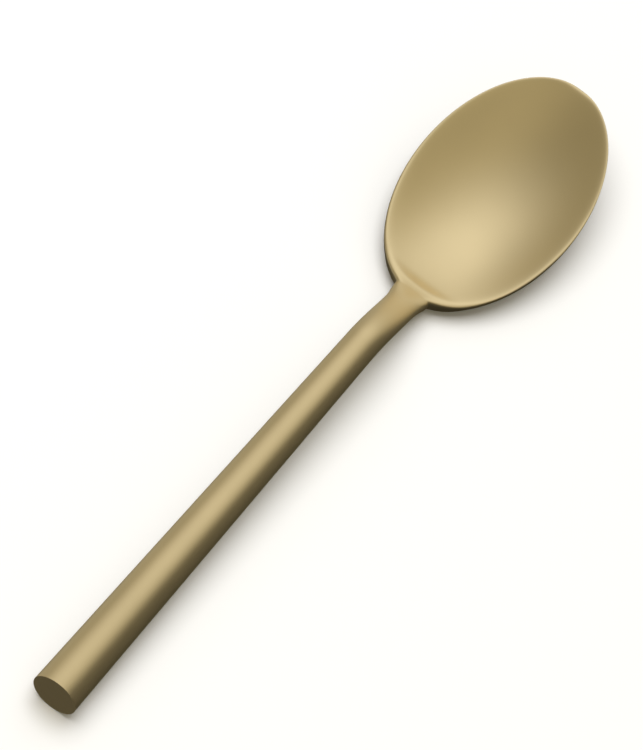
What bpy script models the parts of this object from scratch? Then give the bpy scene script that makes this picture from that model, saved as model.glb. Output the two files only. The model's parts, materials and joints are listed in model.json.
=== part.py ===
"""Soup spoon with a round hollow handle, lying on a table on the bowl's belly and the butt.

The spoon is laid out in its handle frame: the origin at the centre of the butt face, +X along the
handle axis to the bowl, +Z up. An empty then tilts it so that the bowl and the butt touch z = 0,
with the middle of its bounding box over the world origin. Lengths are in metres.
"""

import math

import bmesh
import bpy
import numpy as np

# Handle: two pressed half shells, closed by a turned cap and filled round the tang.
HANDLE_LENGTH = 0.1140
BUTT_RADIUS = 0.00565
HANDLE_FRONT_RADIUS = 0.00412
SHELL_WALL = 0.0008
CAP_THICKNESS = 0.0020
CAP_EDGE = 0.00025
CAP_SPIGOT_LENGTH = 0.0040
BRAZE_THICKNESS = 0.0008
TANG_RADIUS = 0.0018
TANG_LENGTH = 0.0360
TANG_END_CLEARANCE = 0.0005
FIT_GAP = 0.0003

# Neck: the bar that drops from the handle's end into the bowl.
NECK_LENGTH = 0.0238
NECK_DROP = 0.0075
NECK_END_SLOPE = -0.25
NECK_HALF_WIDTH = 0.0040
NECK_HALF_HEIGHT = 0.0024
NECK_FLARE = 0.0006
FLARE_LENGTH = 0.0060
CORNER_POWER = 3.4

# Bowl: an oval dish whose rim rises a little towards its tip.
BOWL_LENGTH = 0.0665
BOWL_WIDTH = 0.0418
BOWL_DEPTH = 0.0080
BOWL_WALL = 0.0016
BOWL_PITCH = math.radians(8.0)
RIM_SAG = 0.0008
RIM_BEND = 0.0040
NECK_FADE = 0.0100
FADE_LEAD = 0.0040
KEEL_FADE = 0.0200
DISH_SHOULDER = 0.0020
DISH_SPREAD = 0.99
DISH_SOFTNESS = 0.07
DISH_NECK_POWER = 2.3
RIM_POWER = 7.0
TIP_ROUNDING_POWER = 40

# Facets of the round and lofted pieces.
TURN_STEPS = 48
SECTION_HALF = 17
NECK_STATIONS = 14
BOWL_STATIONS = 40

GOLD_SATIN = ((0.47, 0.37, 0.17), 0.36, 1.0)
GOLD_POLISHED = ((0.50, 0.40, 0.19), 0.22, 1.0)
SILVER_BRAZE = ((0.62, 0.60, 0.54), 0.40, 1.0)
GREY_CEMENT = ((0.42, 0.41, 0.38), 0.90, 0.0)


def ease(t):
    """Smooth step from 0 to 1, held outside that range."""
    t = min(1.0, max(0.0, t))
    return t * t * (3.0 - 2.0 * t)


def mix(a, b, t):
    return a + (b - a) * t


def shoulder_x():
    """Where the neck starts: after the handle, the braze ring and a gap on each side of it."""
    return HANDLE_LENGTH + BRAZE_THICKNESS + 2.0 * FIT_GAP


def handle_radius(x):
    return mix(BUTT_RADIUS, HANDLE_FRONT_RADIUS, x / HANDLE_LENGTH)


def rim_start_x():
    return shoulder_x() + NECK_LENGTH


def rim_start_slope():
    return math.tan(BOWL_PITCH) - 4.0 * RIM_SAG / (BOWL_LENGTH * math.cos(BOWL_PITCH))


def neck_centre(x):
    """Height of the neck's centreline: level at the shoulder, still falling at the bowl."""
    t = min(1.0, max(0.0, (x - shoulder_x()) / NECK_LENGTH))
    rise = NECK_END_SLOPE * NECK_LENGTH
    return t ** 3 * (2.0 * NECK_DROP + rise) - t * t * (3.0 * NECK_DROP + rise)


def bowl_place(x):
    """Position along the bowl from -1 at its neck end to 1 at its tip."""
    return (x - rim_start_x()) / (0.5 * BOWL_LENGTH * math.cos(BOWL_PITCH)) - 1.0


def rim_height(x):
    """Height of the middle of the rim, which bends out of the neck's slope into its own."""
    along = x - rim_start_x()
    if along <= 0.0:
        return neck_centre(x)
    curve = RIM_SAG * (bowl_place(x) ** 2 - 1.0)
    bend = (NECK_END_SLOPE - rim_start_slope()) * along * math.exp(-along / RIM_BEND)
    return -NECK_DROP + along * math.tan(BOWL_PITCH) + curve + bend


def neck_share(x):
    return ease((x - shoulder_x()) / NECK_LENGTH)


def half_width(x):
    """Half the neck's width or the bowl's, with a rounded corner where the bowl's oval starts."""
    neck = mix(handle_radius(shoulder_x()), NECK_HALF_WIDTH, neck_share(x))
    neck += NECK_FLARE * ease(1.0 + (x - rim_start_x()) / FLARE_LENGTH)
    place = bowl_place(x)
    if place <= -1.0:
        return neck
    oval = 0.5 * BOWL_WIDTH * math.sqrt(max(0.0, 1.0 - place * place))
    if place > 0.0:
        return oval
    neck *= 1.0 - ease(place + 1.0)
    return (neck ** CORNER_POWER + oval ** CORNER_POWER) ** (1.0 / CORNER_POWER)


def half_thickness(x, side, across):
    """Half the bar's or the wall's thickness on the upper (1) or lower (-1) side.

    The bar fades into a thick rim over a short way on top and into a longer keel underneath."""
    past_rim = x - rim_start_x()
    wall = 0.5 * BOWL_WALL
    bar = mix(handle_radius(shoulder_x()), NECK_HALF_HEIGHT, neck_share(x)) - wall
    if side > 0.0:
        extra = bar * (1.0 - ease((past_rim + FADE_LEAD) / NECK_FADE))
    else:
        spread = half_width(x) * across / NECK_HALF_WIDTH
        keel = math.exp(-ease(past_rim / KEEL_FADE) * spread ** 2)
        extra = bar * (1.0 - ease(past_rim / KEEL_FADE)) * keel
    power = section_power(x)
    edge = (1.0 - abs(across) ** power) ** (1.0 / power)
    tip = max(0.0, 1.0 - max(0.0, bowl_place(x)) ** TIP_ROUNDING_POWER)
    return (wall + extra) * edge * math.sqrt(tip)


def dish_fall(x, y):
    """Depth below the rim of an oval dish, blunt past its flat shoulder at the neck, soft at its edge."""
    half_length = 0.5 * (BOWL_LENGTH * math.cos(BOWL_PITCH) - DISH_SHOULDER)
    along = (x - rim_start_x() - DISH_SHOULDER) / half_length - 1.0
    across = abs(y) / (0.5 * BOWL_WIDTH * DISH_SPREAD)
    power = mix(2.0, DISH_NECK_POWER, ease(-along))
    fill = max(0.0, 1.0 - (abs(along) ** power + across ** power) ** (2.0 / power))
    return BOWL_DEPTH * (1.0 + DISH_SOFTNESS) * fill * fill / (fill + DISH_SOFTNESS)


def section_power(x):
    """2 gives the neck an oval section, more gives the bowl a wall with a rounded rim."""
    return mix(2.0, RIM_POWER, ease((x - rim_start_x() + FADE_LEAD) / NECK_FADE))


def section(x):
    """Closed ring of points across the neck or the bowl at x, top side first."""
    width = half_width(x)
    rim = rim_height(x)
    ring = []
    for side in (1.0, -1.0):
        for i in range(SECTION_HALF):
            across = side * math.cos(math.pi * i / SECTION_HALF)
            y = width * across
            ring.append((x, y, rim - dish_fall(x, y) + side * half_thickness(x, side, across)))
    return ring


def round_section(x, radius):
    count = 2 * SECTION_HALF
    turns = [2.0 * math.pi * i / count for i in range(count)]
    return [(x, radius * math.cos(a), radius * math.sin(a)) for a in turns]


def bowl_sections():
    """Rings from the end of the tang, over the shoulder and the neck, to just short of the tip."""
    start = shoulder_x()
    rings = [round_section(start - TANG_LENGTH, TANG_RADIUS), round_section(start, TANG_RADIUS)]
    for i in range(NECK_STATIONS):
        rings.append(section(start + NECK_LENGTH * i / NECK_STATIONS))
    length = BOWL_LENGTH * math.cos(BOWL_PITCH)
    for i in range(BOWL_STATIONS):
        place = 0.5 - 0.5 * math.cos(math.pi * i / BOWL_STATIONS)
        rings.append(section(rim_start_x() + length * place))
    return rings


def bowl_tip():
    x = rim_start_x() + BOWL_LENGTH * math.cos(BOWL_PITCH)
    return (x, 0.0, rim_height(x))


def rest_pose():
    """Tilt and shift that set the bowl's belly and the butt's lower edge on the table."""
    bowl = np.array([point for ring in bowl_sections() for point in ring] + [bowl_tip()])
    edge = [(CAP_EDGE, BUTT_RADIUS), (0.0, BUTT_RADIUS - CAP_EDGE)]
    butt = np.array([(x, 0.0, side * radius) for x, radius in edge for side in (1.0, -1.0)])

    def lowest(points, tilt):
        return (points[:, 0] * math.sin(tilt) + points[:, 2] * math.cos(tilt)).min()

    low = 0.0
    high = math.radians(20.0)
    for _ in range(60):
        tilt = 0.5 * (low + high)
        if lowest(bowl, tilt) < lowest(butt, tilt):
            low = tilt
        else:
            high = tilt
    both = np.vstack((bowl, butt))
    along = both[:, 0] * math.cos(tilt) - both[:, 2] * math.sin(tilt)
    return tilt, -0.5 * (along.min() + along.max()), -lowest(both, tilt)


def clear_scene():
    for obj in list(bpy.data.objects):
        bpy.data.objects.remove(obj, do_unlink=True)


def new_collection(name):
    collection = bpy.data.collections.new(name)
    bpy.context.scene.collection.children.link(collection)
    return collection


def finish(name, look):
    colour, roughness, metallic = look
    material = bpy.data.materials.new(name)
    material.use_nodes = True
    shader = material.node_tree.nodes["Principled BSDF"]
    shader.inputs["Base Color"].default_value = (*colour, 1.0)
    shader.inputs["Roughness"].default_value = roughness
    shader.inputs["Metallic"].default_value = metallic
    return material


def add_object(name, mesh, collection, parent):
    obj = bpy.data.objects.new(name, mesh)
    collection.objects.link(obj)
    obj.parent = parent
    return obj


def turned(name, profile, closed, collection, parent):
    """Solid turned about the handle axis from (radius, distance from the butt face) points."""
    mesh = bpy.data.meshes.new(name)
    points = [(radius, 0.0, along) for radius, along in profile]
    edges = [(i, i + 1) for i in range(len(points) - 1)]
    if closed:
        edges.append((len(points) - 1, 0))
    mesh.from_pydata(points, edges, [])
    obj = add_object(name, mesh, collection, parent)
    obj.rotation_euler = (0.0, 0.5 * math.pi, 0.0)
    screw = obj.modifiers.new("turn", "SCREW")
    screw.steps = TURN_STEPS
    screw.render_steps = TURN_STEPS
    screw.use_merge_vertices = True
    screw.merge_threshold = 0.00001
    screw.use_smooth_shade = True
    return obj


def shell_profile():
    """Wall of the handle tube: outer side from the front to the butt, then back along the inside."""
    back = CAP_THICKNESS + FIT_GAP
    return [
        (handle_radius(HANDLE_LENGTH), HANDLE_LENGTH),
        (handle_radius(back), back),
        (handle_radius(back) - SHELL_WALL, back),
        (handle_radius(HANDLE_LENGTH) - SHELL_WALL, HANDLE_LENGTH),
    ]


def half_space(name, side, collection, parent):
    """Box that takes away the other half of the tube, with half of the seam's gap."""
    reach = 2.0 * BUTT_RADIUS
    mesh = bpy.data.meshes.new(name)
    cube = bmesh.new()
    bmesh.ops.create_cube(cube, size=1.0)
    bmesh.ops.scale(cube, verts=cube.verts, vec=(1.2 * HANDLE_LENGTH, 2.0 * reach, reach))
    low_edge = side * (0.5 * FIT_GAP - 0.5 * reach)
    bmesh.ops.translate(cube, verts=cube.verts, vec=(0.5 * HANDLE_LENGTH, 0.0, low_edge))
    cube.to_mesh(mesh)
    cube.free()
    obj = add_object(name, mesh, collection, parent)
    obj.hide_render = True
    obj.display_type = "WIRE"
    return obj


def make_half_shell(name, side, parts, cutters, parent, material):
    shell = turned(name, shell_profile(), True, parts, parent)
    cut = shell.modifiers.new("seam", "BOOLEAN")
    cut.operation = "DIFFERENCE"
    cut.solver = "EXACT"
    cut.object = half_space(name + "_cutter", side, cutters, parent)
    shell.data.materials.append(material)


def make_butt_cap(parts, parent, material):
    spigot = handle_radius(CAP_THICKNESS + CAP_SPIGOT_LENGTH) - SHELL_WALL - FIT_GAP
    top = CAP_THICKNESS + CAP_SPIGOT_LENGTH
    profile = [
        (0.0, top),
        (spigot, top),
        (spigot, CAP_THICKNESS),
        (handle_radius(CAP_THICKNESS), CAP_THICKNESS),
        (BUTT_RADIUS, CAP_EDGE),
        (BUTT_RADIUS - CAP_EDGE, 0.0),
        (0.0, 0.0),
    ]
    turned("butt_cap", profile, False, parts, parent).data.materials.append(material)


def make_filler(parts, parent, material):
    """Cement core: it fills the shells behind the braze ring and grips the tang in a blind bore."""
    back = CAP_THICKNESS + CAP_SPIGOT_LENGTH + FIT_GAP
    bore = TANG_RADIUS + FIT_GAP
    bore_end = shoulder_x() - TANG_LENGTH - TANG_END_CLEARANCE
    inset = SHELL_WALL + FIT_GAP
    profile = [
        (0.0, bore_end),
        (bore, bore_end),
        (bore, HANDLE_LENGTH),
        (handle_radius(HANDLE_LENGTH) - inset, HANDLE_LENGTH),
        (handle_radius(back) - inset, back),
        (0.0, back),
    ]
    turned("handle_filler", profile, False, parts, parent).data.materials.append(material)


def make_braze_ring(parts, parent, material):
    back = HANDLE_LENGTH + FIT_GAP
    front = back + BRAZE_THICKNESS
    inner = TANG_RADIUS + FIT_GAP
    profile = [
        (handle_radius(front), front),
        (handle_radius(back), back),
        (inner, back),
        (inner, front),
    ]
    turned("braze_ring", profile, True, parts, parent).data.materials.append(material)


def make_bowl(parts, parent, material):
    """Tang, neck and bowl in one forging, lofted through unlike sections."""
    mesh = bpy.data.meshes.new("bowl")
    loft = bmesh.new()
    rings = [[loft.verts.new(point) for point in ring] for ring in bowl_sections()]
    count = 2 * SECTION_HALF
    for back, front in zip(rings, rings[1:]):
        for i in range(count):
            j = (i + 1) % count
            loft.faces.new((back[i], front[i], front[j], back[j]))
    loft.faces.new(rings[0])
    tip = loft.verts.new(bowl_tip())
    for i in range(count):
        loft.faces.new((rings[-1][i], tip, rings[-1][(i + 1) % count]))
    bmesh.ops.recalc_face_normals(loft, faces=loft.faces)
    loft.to_mesh(mesh)
    loft.free()
    mesh.shade_smooth()
    mesh.set_sharp_from_angle(angle=math.radians(40.0))
    add_object("bowl", mesh, parts, parent).data.materials.append(material)


def main():
    clear_scene()
    parts = new_collection("soup_spoon")
    cutters = new_collection("soup_spoon_cutters")
    tilt, along, up = rest_pose()
    rest = bpy.data.objects.new("spoon_rest", None)
    parts.objects.link(rest)
    rest.location = (along, 0.0, up)
    rest.rotation_euler = (0.0, -tilt, 0.0)

    satin = finish("gold_satin", GOLD_SATIN)
    polished = finish("gold_polished", GOLD_POLISHED)
    make_bowl(parts, rest, polished)
    make_half_shell("handle_upper_shell", 1.0, parts, cutters, rest, satin)
    make_half_shell("handle_lower_shell", -1.0, parts, cutters, rest, satin)
    make_butt_cap(parts, rest, satin)
    make_filler(parts, rest, finish("grey_cement", GREY_CEMENT))
    make_braze_ring(parts, rest, finish("silver_braze", SILVER_BRAZE))


main()
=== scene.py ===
import json
import math

import bmesh
import bpy
from mathutils import Matrix, Vector


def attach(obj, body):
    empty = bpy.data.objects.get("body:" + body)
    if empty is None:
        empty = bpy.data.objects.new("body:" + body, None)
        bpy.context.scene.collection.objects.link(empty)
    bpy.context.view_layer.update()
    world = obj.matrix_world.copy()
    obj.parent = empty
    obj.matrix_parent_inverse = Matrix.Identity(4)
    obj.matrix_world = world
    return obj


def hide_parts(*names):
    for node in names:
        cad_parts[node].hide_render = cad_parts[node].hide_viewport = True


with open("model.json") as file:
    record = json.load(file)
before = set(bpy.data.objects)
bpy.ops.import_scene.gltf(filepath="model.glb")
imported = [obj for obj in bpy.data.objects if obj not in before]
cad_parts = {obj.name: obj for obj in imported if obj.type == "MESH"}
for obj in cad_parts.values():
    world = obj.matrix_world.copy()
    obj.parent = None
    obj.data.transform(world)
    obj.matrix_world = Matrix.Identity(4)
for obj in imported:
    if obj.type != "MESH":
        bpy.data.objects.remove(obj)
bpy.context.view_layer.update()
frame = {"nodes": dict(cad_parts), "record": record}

# The handle frame: origin at the centre of the butt face, +X along the handle, +Z up.
butt_mount = frame["record"]["mounts"][0]
butt_centre = Vector(butt_mount["pos_m"])
handle_axis = -Vector(butt_mount["axis"]).normalized()
left_axis = Vector((0.0, 1.0, 0.0))
top_axis = handle_axis.cross(left_axis)
handle_turn = Matrix((handle_axis, left_axis, top_axis)).transposed()
handle_to_world = Matrix.Translation(butt_centre) @ handle_turn.to_4x4()

# Handle, in metres, with the sizes of the solids that these pieces dress.
HANDLE_LENGTH = 0.1140
BUTT_RADIUS = 0.00565
HANDLE_FRONT_RADIUS = 0.00412
SHELL_WALL = 0.0008
CAP_THICKNESS = 0.0020
CAP_EDGE = 0.00022
CAP_SPIGOT_LENGTH = 0.0040
JOINT_LENGTH = 0.0014
SEAM = 0.00001

# Neck and bowl.
NECK_LENGTH = 0.0238
NECK_DROP = 0.0075
NECK_END_SLOPE = -0.25
NECK_HALF_WIDTH = 0.0040
NECK_HALF_HEIGHT = 0.0024
NECK_FLARE = 0.0006
FLARE_LENGTH = 0.0060
CORNER_POWER = 3.4
BOWL_LENGTH = 0.0665
BOWL_WIDTH = 0.0418
BOWL_DEPTH = 0.0080
BOWL_WALL = 0.0016
BOWL_PITCH = math.radians(8.0)
RIM_SAG = 0.0008
RIM_BEND = 0.0040
NECK_FADE = 0.0100
FADE_LEAD = 0.0040
KEEL_FADE = 0.0200
DISH_SHOULDER = 0.0020
DISH_SPREAD = 0.99
DISH_SOFTNESS = 0.07
DISH_NECK_POWER = 2.3
RIM_POWER = 7.0
TIP_ROUNDING_POWER = 40

SHOULDER_X = HANDLE_LENGTH + JOINT_LENGTH
RIM_START_X = SHOULDER_X + NECK_LENGTH
BOWL_RUN = BOWL_LENGTH * math.cos(BOWL_PITCH)

# Facets.
ROUND_SIDES = 128
HANDLE_RINGS = 12
JOINT_RINGS = 2
SECTION_SIDES = 96
NECK_RINGS = 36
BOWL_RINGS = 110
CAP_EDGE_SEGMENTS = 4
CAP_EDGE_PROFILE = 0.5
SMOOTH_ANGLE = math.radians(35.0)
PLANE_TOLERANCE = 0.000001

# Gold-coated steel, satin on the handle and smoother inside the bowl.
GOLD = (0.80, 0.655, 0.37)
GOLD_SPREAD = 0.05
CLOUD_SCALE = 60.0
CLOUD_DETAIL = 2.0
SATIN_ROUGHNESS = 0.45
POLISH_ROUGHNESS = 0.27
ROUGHNESS_SPREAD = 0.05
BRUSH_GRAIN = (300.0, 9000.0, 9000.0)
BRUSH_DETAIL = 3.0
BRUSH_HEIGHT = 0.000008
BRUSH_STRENGTH = 0.5

# Cement of the hidden filler.
CEMENT_DARK = (0.30, 0.29, 0.27)
CEMENT_LIGHT = (0.52, 0.51, 0.47)
CEMENT_ROUGHNESS = 0.9
GRIT_SCALE = 900.0
GRIT_DETAIL = 6.0

# Room: its brightness by direction, as the metal mirrors it. The blends are parts of a unit direction.
KEY_DIRECTION = (0.62, 0.20, 0.77)
KEY_SHADE = (1.00, 1.00, 1.02)
KEY_SPREAD = 0.48
KEY_FALLOFF = 1.8
HIGH_LEFT_SHADE = (0.315, 0.290, 0.222)
HIGH_RIGHT_SHADE = (0.47, 0.435, 0.335)
LOW_LEFT_SHADE = (0.46, 0.45, 0.42)
LOW_RIGHT_SHADE = (0.07, 0.068, 0.06)
BELOW_SHADE = (0.025, 0.024, 0.021)
SIDE_BLEND = (-0.5, 0.5)
HEIGHT_BLEND = (-0.25, 0.25)
BELOW_BLEND = (-0.85, -0.45)

# Dark card beside the spoon: painted shade with a faint painted glow, standing in for the shaded floor that
# the metal mirrors on the spoon's right. Floor and the soft light that gives the floor its shadow.
FLAG_LENGTH = 0.245
FLAG_HEIGHT = 0.060
FLAG_MIDDLE = -0.0475
FLAG_DISTANCE = 0.05
# Painted shade: the card's dark colour and faint glow stand in for the shaded floor mirrored on the spoon's
# right.
FLAG_COLOUR = (0.05, 0.048, 0.042)
FLAG_PAINTED_GLOW = (0.042, 0.040, 0.035)
FLOOR_SIZE = 6.0
FLOOR_CLEARANCE = 0.0001
FLOOR_COLOUR = (0.90, 0.90, 0.90)
FLOOR_ROUGHNESS = 0.9
FILL_DIRECTION = (0.0, 0.2, 1.0)
FILL_DISTANCE = 1.2
FILL_SIZE = 1.2
FILL_POWER = 12.0
FILL_AIM = 0.3

# Camera: tilt from the handle axis, turn to the spoon's right and roll, fitted to the photograph.
CAMERA_TILT = math.radians(60.39)
CAMERA_TURN = math.radians(7.99)
CAMERA_ROLL = math.radians(41.22)
CAMERA_DISTANCE = 1.5
CAMERA_REACH = 20.0
CAMERA_AIM_ALONG = 0.100
CAMERA_AIM_RIGHT = 0.00049
CAMERA_AIM_UP = 0.00385
FOCAL_PIXELS = 6690.0
IMAGE_HEIGHT = 750.0
SENSOR = 36.0


def ease(t):
    """Smooth step from 0 to 1, held outside that range."""
    t = min(1.0, max(0.0, t))
    return t * t * (3.0 - 2.0 * t)


def mix(a, b, t):
    return a + (b - a) * t


def handle_radius(x):
    return mix(BUTT_RADIUS, HANDLE_FRONT_RADIUS, x / HANDLE_LENGTH)


def neck_share(x):
    return ease((x - SHOULDER_X) / NECK_LENGTH)


def rim_start_slope():
    return math.tan(BOWL_PITCH) - 4.0 * RIM_SAG / BOWL_RUN


def neck_centre(x):
    """Height of the neck's centreline: level at the shoulder, still falling at the bowl."""
    t = min(1.0, max(0.0, (x - SHOULDER_X) / NECK_LENGTH))
    rise = NECK_END_SLOPE * NECK_LENGTH
    return t ** 3 * (2.0 * NECK_DROP + rise) - t * t * (3.0 * NECK_DROP + rise)


def bowl_place(x):
    """Position along the bowl from -1 at its neck end to 1 at its tip."""
    return (x - RIM_START_X) / (0.5 * BOWL_RUN) - 1.0


def rim_height(x):
    """Height of the middle of the rim, which bends out of the neck's slope into its own."""
    along = x - RIM_START_X
    if along <= 0.0:
        return neck_centre(x)
    curve = RIM_SAG * (bowl_place(x) ** 2 - 1.0)
    bend = (NECK_END_SLOPE - rim_start_slope()) * along * math.exp(-along / RIM_BEND)
    return -NECK_DROP + along * math.tan(BOWL_PITCH) + curve + bend


def half_width(x):
    """Half the neck's width or the bowl's, with a rounded corner where the bowl's oval starts."""
    neck = mix(handle_radius(SHOULDER_X), NECK_HALF_WIDTH, neck_share(x))
    neck += NECK_FLARE * ease(1.0 + (x - RIM_START_X) / FLARE_LENGTH)
    place = bowl_place(x)
    if place <= -1.0:
        return neck
    oval = 0.5 * BOWL_WIDTH * math.sqrt(max(0.0, 1.0 - place * place))
    if place > 0.0:
        return oval
    neck *= 1.0 - ease(place + 1.0)
    return (neck ** CORNER_POWER + oval ** CORNER_POWER) ** (1.0 / CORNER_POWER)


def dish_fall(x, y):
    """Depth below the rim of an oval dish, blunt past its flat shoulder at the neck, soft at its edge."""
    half_length = 0.5 * (BOWL_RUN - DISH_SHOULDER)
    along = (x - RIM_START_X - DISH_SHOULDER) / half_length - 1.0
    across = abs(y) / (0.5 * BOWL_WIDTH * DISH_SPREAD)
    power = mix(2.0, DISH_NECK_POWER, ease(-along))
    fill = max(0.0, 1.0 - (abs(along) ** power + across ** power) ** (2.0 / power))
    return BOWL_DEPTH * (1.0 + DISH_SOFTNESS) * fill * fill / (fill + DISH_SOFTNESS)


def half_thickness(x, side, across):
    """Half the bar's or the wall's thickness above (1) or below (-1) its middle."""
    past_rim = x - RIM_START_X
    bowl_share = ease((past_rim + FADE_LEAD) / NECK_FADE)
    wall = 0.5 * BOWL_WALL
    bar = mix(handle_radius(SHOULDER_X), NECK_HALF_HEIGHT, neck_share(x)) - wall
    if side > 0.0:
        extra = bar * (1.0 - bowl_share)
    else:
        spread = half_width(x) * across / NECK_HALF_WIDTH
        keel_share = ease(past_rim / KEEL_FADE)
        extra = bar * (1.0 - keel_share) * math.exp(-keel_share * spread ** 2)
    power = mix(2.0, RIM_POWER, bowl_share)
    edge = (1.0 - min(1.0, abs(across)) ** power) ** (1.0 / power)
    tip = max(0.0, 1.0 - max(0.0, bowl_place(x)) ** TIP_ROUNDING_POWER)
    return (wall + extra) * edge * math.sqrt(tip)


def section_point(x, turn):
    """Point of the neck's or bowl's section at x, turn going once round it from the left edge."""
    across = math.cos(turn)
    side = 1.0 if math.sin(turn) >= 0.0 else -1.0
    y = half_width(x) * across
    return Vector((x, y, rim_height(x) - dish_fall(x, y) + side * half_thickness(x, side, across)))


def deselect_all():
    if bpy.context.mode != "OBJECT":
        bpy.ops.object.mode_set(mode="OBJECT")
    bpy.ops.object.select_all(action="DESELECT")


def start_ring(name, x, radius, sides):
    """A circle of points round the handle axis, in edit mode with all of it selected."""
    deselect_all()
    bpy.ops.mesh.primitive_circle_add(vertices=sides, radius=radius, location=(x, 0.0, 0.0))
    piece = bpy.context.object
    piece.name = name
    piece.data.name = name
    bpy.ops.object.mode_set(mode="EDIT")
    bpy.ops.mesh.select_all(action="SELECT")
    mesh = bmesh.from_edit_mesh(piece.data)
    for i, point in enumerate(mesh.verts):
        turn = 2.0 * math.pi * i / sides
        point.co = (0.0, radius * math.cos(turn), radius * math.sin(turn))
    bmesh.update_edit_mesh(piece.data)
    return piece


def end_piece(piece, slot, material, *nodes):
    """Leaves edit mode, puts the piece's place into its mesh and hangs it on the frame."""
    deselect_all()
    bpy.context.view_layer.objects.active = piece
    piece.select_set(True)
    piece.data.transform(handle_to_world @ piece.matrix_world)
    piece.matrix_world = Matrix.Identity(4)
    bpy.ops.object.shade_smooth_by_angle(angle=SMOOTH_ANGLE)
    piece.data.materials.clear()
    piece.data.materials.append(material)
    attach(piece, "root")
    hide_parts(*nodes)


def tube(name, back, front, rings):
    """Open tapered tube on the handle axis, drawn out from a ring in steps."""
    piece = start_ring(name, back, handle_radius(back), ROUND_SIDES)
    step = (front - back) / rings
    for i in range(rings):
        bpy.ops.mesh.extrude_region_move(TRANSFORM_OT_translate={"value": (step, 0.0, 0.0)})
        x = back + step * i
        shrink = handle_radius(x + step) / handle_radius(x)
        bpy.ops.transform.resize(value=(1.0, shrink, shrink), center_override=(x + step, 0.0, 0.0))
    return piece


def face_outwards(piece):
    """Turns the faces of an open tube away from the handle axis."""
    bpy.ops.mesh.select_all(action="SELECT")
    bpy.ops.mesh.normals_make_consistent(inside=False)
    mesh = bmesh.from_edit_mesh(piece.data)
    mesh.faces.ensure_lookup_table()
    face = mesh.faces[0]
    middle = face.calc_center_median()
    if face.normal.dot(Vector((0.0, middle.y, middle.z))) < 0.0:
        bpy.ops.mesh.flip_normals()


def thicken(piece, wall):
    """Gives an open tube its wall, on the inside."""
    bpy.ops.object.mode_set(mode="OBJECT")
    skin = piece.modifiers.new("wall", "SOLIDIFY")
    skin.thickness = wall
    skin.offset = -1.0
    skin.use_even_offset = True
    bpy.context.view_layer.objects.active = piece
    bpy.ops.object.modifier_apply(modifier=skin.name)


def make_half_shell(name, side, material, node):
    """One half of the handle tube, cut from a whole tube along the seam plane."""
    piece = tube(name, CAP_THICKNESS, HANDLE_LENGTH, HANDLE_RINGS)
    face_outwards(piece)
    bpy.ops.mesh.select_all(action="SELECT")
    bpy.ops.mesh.bisect(plane_co=(0.0, 0.0, side * SEAM), plane_no=(0.0, 0.0, side), clear_inner=True)
    thicken(piece, SHELL_WALL)
    end_piece(piece, "gold_satin", material, node)


def make_joint_band(material):
    """The brazed joint between handle and neck, ground flush with both."""
    piece = tube("neck_joint_band", HANDLE_LENGTH, SHOULDER_X, JOINT_RINGS)
    face_outwards(piece)
    thicken(piece, SHELL_WALL)
    end_piece(piece, "braze_alloy", material, "braze_ring")


def make_butt_disc(material):
    """End disc with a finely broken outer edge and the spigot that plugs the shells."""
    piece = start_ring("butt_disc", 0.0, BUTT_RADIUS, ROUND_SIDES)
    bpy.ops.mesh.edge_face_add()
    bpy.ops.mesh.extrude_region_move(TRANSFORM_OT_translate={"value": (CAP_THICKNESS, 0.0, 0.0)})
    shrink = handle_radius(CAP_THICKNESS) / BUTT_RADIUS
    bpy.ops.transform.resize(value=(1.0, shrink, shrink), center_override=(CAP_THICKNESS, 0.0, 0.0))
    bpy.ops.mesh.inset(thickness=SHELL_WALL + SEAM)
    bpy.ops.mesh.extrude_region_move(TRANSFORM_OT_translate={"value": (CAP_SPIGOT_LENGTH, 0.0, 0.0)})
    bpy.ops.mesh.select_all(action="DESELECT")
    mesh = bmesh.from_edit_mesh(piece.data)
    for edge in mesh.edges:
        edge.select_set(all(abs(point.co.x) < PLANE_TOLERANCE for point in edge.verts))
    bmesh.update_edit_mesh(piece.data)
    bpy.ops.mesh.bevel(offset=CAP_EDGE, segments=CAP_EDGE_SEGMENTS, profile=CAP_EDGE_PROFILE)
    bpy.ops.mesh.select_all(action="SELECT")
    bpy.ops.mesh.normals_make_consistent(inside=False)
    end_piece(piece, "gold_satin", material, "butt_cap")


def make_bowl(material):
    """Neck and bowl, drawn out ring by ring from the shoulder to the tip."""
    places = [SHOULDER_X + NECK_LENGTH * i / NECK_RINGS for i in range(NECK_RINGS)]
    for i in range(BOWL_RINGS):
        places.append(RIM_START_X + BOWL_RUN * (0.5 - 0.5 * math.cos(math.pi * i / BOWL_RINGS)))
    piece = start_ring("bowl_and_neck", 0.0, handle_radius(SHOULDER_X), SECTION_SIDES)
    bpy.ops.mesh.edge_face_add()
    for x in places:
        if x > places[0]:
            bpy.ops.mesh.extrude_region_move()
        mesh = bmesh.from_edit_mesh(piece.data)
        ring = [point for point in mesh.verts if point.select]
        for i, point in enumerate(ring):
            point.co = section_point(x, 2.0 * math.pi * i / SECTION_SIDES)
        bmesh.update_edit_mesh(piece.data)
    bpy.ops.mesh.merge(type="CENTER")
    bpy.ops.mesh.select_all(action="SELECT")
    bpy.ops.mesh.normals_make_consistent(inside=False)
    end_piece(piece, "gold_polished", material, "bowl")


def new_material(name):
    """A node material and its shader."""
    material = bpy.data.materials.new(name)
    material.use_nodes = True
    return material, material.node_tree.nodes["Principled BSDF"]


def opaque(colour):
    return (*colour, 1.0)


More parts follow.
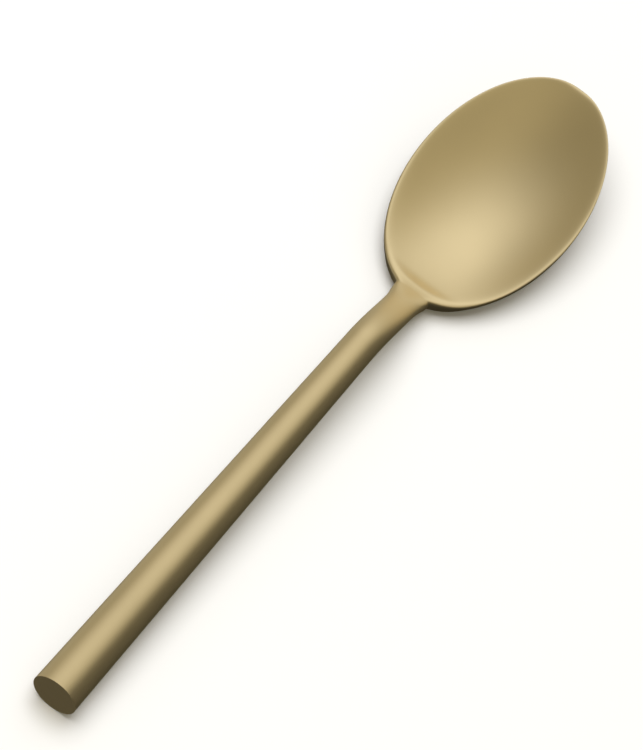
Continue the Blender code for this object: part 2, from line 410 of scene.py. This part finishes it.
def gold_finish(name, near_roughness, far_roughness):
    """Gold-coated steel with fine brush lines along the handle.

    The roughness goes from the near value to the far one where the neck meets the bowl."""
    material, shader = new_material(name)
    nodes = material.node_tree.nodes
    links = material.node_tree.links
    shader.inputs["Metallic"].default_value = 1.0
    place = nodes.new("ShaderNodeTexCoord")
    turn = nodes.new("ShaderNodeMapping")
    turn.inputs["Rotation"].default_value = (0.0, math.asin(handle_axis.z), 0.0)
    turn.inputs["Scale"].default_value = BRUSH_GRAIN
    links.new(place.outputs["Object"], turn.inputs["Vector"])
    brush = nodes.new("ShaderNodeTexNoise")
    brush.inputs["Scale"].default_value = 1.0
    brush.inputs["Detail"].default_value = BRUSH_DETAIL
    links.new(turn.outputs["Vector"], brush.inputs["Vector"])
    parts = nodes.new("ShaderNodeSeparateXYZ")
    links.new(place.outputs["Object"], parts.inputs["Vector"])
    along = nodes.new("ShaderNodeMapRange")
    along.interpolation_type = "SMOOTHSTEP"
    rim_start = (handle_to_world @ Vector((RIM_START_X, 0.0, -NECK_DROP))).x
    along.inputs["From Min"].default_value = rim_start - NECK_FADE
    along.inputs["From Max"].default_value = rim_start + NECK_FADE
    along.inputs["To Min"].default_value = near_roughness
    along.inputs["To Max"].default_value = far_roughness
    links.new(parts.outputs["X"], along.inputs["Value"])
    rough = nodes.new("ShaderNodeMath")
    rough.operation = "MULTIPLY_ADD"
    rough.inputs[1].default_value = ROUGHNESS_SPREAD
    links.new(brush.outputs["Fac"], rough.inputs[0])
    links.new(along.outputs["Result"], rough.inputs[2])
    links.new(rough.outputs["Value"], shader.inputs["Roughness"])
    cloud = nodes.new("ShaderNodeTexNoise")
    cloud.inputs["Scale"].default_value = CLOUD_SCALE
    cloud.inputs["Detail"].default_value = CLOUD_DETAIL
    links.new(place.outputs["Object"], cloud.inputs["Vector"])
    tint = nodes.new("ShaderNodeMix")
    tint.data_type = "RGBA"
    tint.inputs["A"].default_value = opaque([(1.0 - GOLD_SPREAD) * part for part in GOLD])
    tint.inputs["B"].default_value = opaque([(1.0 + GOLD_SPREAD) * part for part in GOLD])
    links.new(cloud.outputs["Fac"], tint.inputs["Factor"])
    links.new(tint.outputs["Result"], shader.inputs["Base Color"])
    bump = nodes.new("ShaderNodeBump")
    bump.inputs["Strength"].default_value = BRUSH_STRENGTH
    bump.inputs["Distance"].default_value = BRUSH_HEIGHT
    links.new(brush.outputs["Fac"], bump.inputs["Height"])
    links.new(bump.outputs["Normal"], shader.inputs["Normal"])
    return material


def cement_finish():
    """Grey set cement with a fine grit."""
    material, shader = new_material("cement_core")
    nodes = material.node_tree.nodes
    links = material.node_tree.links
    shader.inputs["Roughness"].default_value = CEMENT_ROUGHNESS
    place = nodes.new("ShaderNodeTexCoord")
    grit = nodes.new("ShaderNodeTexNoise")
    grit.inputs["Scale"].default_value = GRIT_SCALE
    grit.inputs["Detail"].default_value = GRIT_DETAIL
    links.new(place.outputs["Object"], grit.inputs["Vector"])
    shade = nodes.new("ShaderNodeValToRGB")
    shade.color_ramp.elements[0].color = opaque(CEMENT_DARK)
    shade.color_ramp.elements[1].color = opaque(CEMENT_LIGHT)
    links.new(grit.outputs["Fac"], shade.inputs["Fac"])
    links.new(shade.outputs["Color"], shader.inputs["Base Color"])
    return material


def make_floor():
    """Pale floor that keeps the spoon's shadow and isn't mirrored in the metal."""
    deselect_all()
    bpy.ops.mesh.primitive_plane_add(size=FLOOR_SIZE, location=(0.0, 0.0, -FLOOR_CLEARANCE))
    floor = bpy.context.object
    floor.name = "floor"
    material, shader = new_material("pale_floor")
    shader.inputs["Base Color"].default_value = opaque(FLOOR_COLOUR)
    shader.inputs["Roughness"].default_value = FLOOR_ROUGHNESS
    floor.data.materials.append(material)
    floor.visible_glossy = False


def make_overhead_fill():
    """Round soft light over the bowl, for the floor and its shadow only."""
    aim = handle_to_world @ Vector((RIM_START_X + FILL_AIM * BOWL_RUN, 0.0, -NECK_DROP))
    towards = Vector(FILL_DIRECTION).normalized()
    lamp = bpy.data.lights.new("overhead_fill", "AREA")
    lamp.shape = "DISK"
    lamp.size = FILL_SIZE
    lamp.energy = FILL_POWER
    fill = bpy.data.objects.new("overhead_fill", lamp)
    bpy.context.scene.collection.objects.link(fill)
    fill.location = aim + towards * FILL_DISTANCE
    fill.rotation_euler = (-towards).to_track_quat("-Z", "Y").to_euler()
    fill.visible_glossy = False


def smooth_range(tree, source, limits):
    """Smooth step of a node's output between two values."""
    step = tree.nodes.new("ShaderNodeMapRange")
    step.interpolation_type = "SMOOTHSTEP"
    step.inputs["From Min"].default_value = limits[0]
    step.inputs["From Max"].default_value = limits[1]
    tree.links.new(source, step.inputs["Value"])
    return step.outputs["Result"]


def blend(tree, factor, first, second):
    """Mix of two colours, each a fixed one or a node's output."""
    node = tree.nodes.new("ShaderNodeMix")
    node.data_type = "RGBA"
    tree.links.new(factor, node.inputs["Factor"])
    for socket, colour in (("A", first), ("B", second)):
        if isinstance(colour, tuple):
            node.inputs[socket].default_value = opaque(colour)
        else:
            tree.links.new(colour, node.inputs[socket])
    return node.outputs["Result"]


def make_world():
    """Room as the metal mirrors it: a broad soft light ahead of the spoon, dark low on its right."""
    world = bpy.data.worlds.new("studio")
    bpy.context.scene.world = world
    world.use_nodes = True
    tree = world.node_tree
    nodes = tree.nodes
    links = tree.links
    place = nodes.new("ShaderNodeTexCoord")
    parts = nodes.new("ShaderNodeSeparateXYZ")
    links.new(place.outputs["Generated"], parts.inputs["Vector"])
    left = smooth_range(tree, parts.outputs["Y"], SIDE_BLEND)
    upper = smooth_range(tree, parts.outputs["Z"], HEIGHT_BLEND)
    above_floor = smooth_range(tree, parts.outputs["Z"], BELOW_BLEND)
    low = blend(tree, left, LOW_RIGHT_SHADE, LOW_LEFT_SHADE)
    high = blend(tree, left, HIGH_RIGHT_SHADE, HIGH_LEFT_SHADE)
    room = blend(tree, above_floor, BELOW_SHADE, blend(tree, upper, low, high))
    facing = nodes.new("ShaderNodeVectorMath")
    facing.operation = "DOT_PRODUCT"
    facing.inputs[1].default_value = Vector(KEY_DIRECTION).normalized()
    links.new(place.outputs["Generated"], facing.inputs[0])
    glow = nodes.new("ShaderNodeMapRange")
    glow.inputs["From Min"].default_value = KEY_SPREAD
    links.new(facing.outputs["Value"], glow.inputs["Value"])
    falloff = nodes.new("ShaderNodeMath")
    falloff.operation = "POWER"
    falloff.inputs[1].default_value = KEY_FALLOFF
    links.new(glow.outputs["Result"], falloff.inputs[0])
    lit_room = blend(tree, falloff.outputs["Value"], room, KEY_SHADE)
    links.new(lit_room, nodes["Background"].inputs["Color"])


def make_flag():
    """Dark card on the spoon's right, seen only in the metal: painted shade with a faint painted glow,
    standing in for the shaded floor mirrored there.
    """
    deselect_all()
    bpy.ops.mesh.primitive_plane_add(size=1.0)
    flag = bpy.context.object
    flag.name = "dark_flag"
    flag.scale = (FLAG_LENGTH, FLAG_HEIGHT, 1.0)
    flag.rotation_euler = (math.radians(90.0), 0.0, 0.0)
    flag.location = (FLAG_MIDDLE, -FLAG_DISTANCE, 0.5 * FLAG_HEIGHT)
    # Painted shade: the card is dark and glows faintly though it is no lamp, so the metal mirrors a dim
    # shade on the spoon's right.
    material, shader = new_material("flag_painted_shade")
    shader.inputs["Base Color"].default_value = opaque(FLAG_COLOUR)
    shader.inputs["Emission Color"].default_value = opaque(FLAG_PAINTED_GLOW)
    shader.inputs["Emission Strength"].default_value = 1.0
    flag.data.materials.append(material)
    flag.visible_camera = False
    flag.visible_diffuse = False
    flag.visible_transmission = False
    flag.visible_shadow = False


def make_camera():
    """Camera placed in the handle frame, with the photograph's view of the spoon."""
    level = math.cos(CAMERA_TURN)
    towards = Vector((-math.cos(CAMERA_TILT) * level, -math.sin(CAMERA_TURN), math.sin(CAMERA_TILT) * level))
    along = Vector((1.0, 0.0, 0.0))
    up = (along - towards * along.dot(towards)).normalized()
    right = (-towards).cross(up)
    rolled_right = right * math.cos(CAMERA_ROLL) + up * math.sin(CAMERA_ROLL)
    rolled_up = up * math.cos(CAMERA_ROLL) - right * math.sin(CAMERA_ROLL)
    aim = along * CAMERA_AIM_ALONG + rolled_right * CAMERA_AIM_RIGHT + rolled_up * CAMERA_AIM_UP
    axes = Matrix((rolled_right, rolled_up, towards)).transposed().to_4x4()
    lens = bpy.data.cameras.new("camera")
    lens.sensor_width = SENSOR
    lens.lens = FOCAL_PIXELS * SENSOR / IMAGE_HEIGHT
    lens.clip_end = CAMERA_REACH
    camera = bpy.data.objects.new("camera", lens)
    bpy.context.scene.collection.objects.link(camera)
    camera.matrix_world = handle_to_world @ Matrix.Translation(aim + towards * CAMERA_DISTANCE) @ axes
    bpy.context.scene.camera = camera


satin = gold_finish("gold_satin_brushed", SATIN_ROUGHNESS, SATIN_ROUGHNESS)
polish = gold_finish("gold_soft_polish", SATIN_ROUGHNESS, POLISH_ROUGHNESS)
make_half_shell("handle_upper_half", 1.0, satin, "handle_upper_shell")
make_half_shell("handle_lower_half", -1.0, satin, "handle_lower_shell")
make_joint_band(satin)
make_butt_disc(satin)
make_bowl(polish)
core = frame["nodes"]["handle_filler"]
core.data.materials.clear()
core.data.materials.append(cement_finish())

make_floor()
make_world()
make_flag()
make_overhead_fill()
make_camera()
bpy.context.scene.view_settings.view_transform = "Standard"
